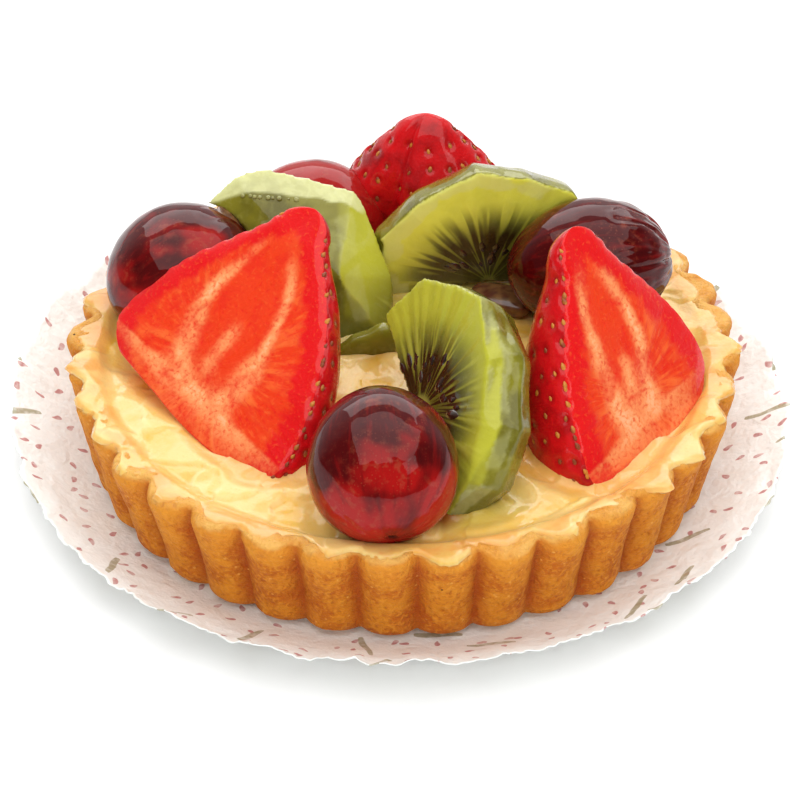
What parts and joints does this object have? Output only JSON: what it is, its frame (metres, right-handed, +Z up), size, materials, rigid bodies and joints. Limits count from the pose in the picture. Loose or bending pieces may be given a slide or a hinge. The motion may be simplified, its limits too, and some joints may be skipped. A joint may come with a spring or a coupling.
{
  "type": "fruit tart",
  "caption": "Small round tart in a flat paper case: fluted pastry shell filled with custard, topped with halved strawberries, whole grapes and cut kiwi.",
  "frame": {"origin": "on the flat underside of the paper case, under the middle of the tart", "axes": "+Z up, -Y towards the front, where the whole grape lies at the rim, +X to the right"},
  "size_m": [0.1172, 0.118, 0.0437],
  "materials": {
    "paper": "thin white paper with a crinkled cut edge, printed with small mauve flecks and beige ribbon strokes",
    "pastry": "golden brown baked shortcrust, crumbly, with fine pores and darker grooves",
    "custard": "pale cream custard under a clear wet glaze",
    "strawberry": "glazed bright red flesh and skin with small yellow seeds",
    "grape": "glossy dark red skin under a clear glaze",
    "kiwi": "glazed yellow green flesh with a pale core and small dark seeds"
  },
  "bodies": {
    "root": {"paper_case": "paper", "pastry_shell": "pastry", "custard": "custard", "strawberry_left": "strawberry", "strawberry_right": "strawberry", "strawberry_back": "strawberry", "grape_front": "grape", "grape_left": "grape", "grape_right": "grape", "grape_back": "grape", "kiwi_front": "kiwi", "kiwi_left": "kiwi", "kiwi_right": "kiwi"}
  },
  "joints": []
}
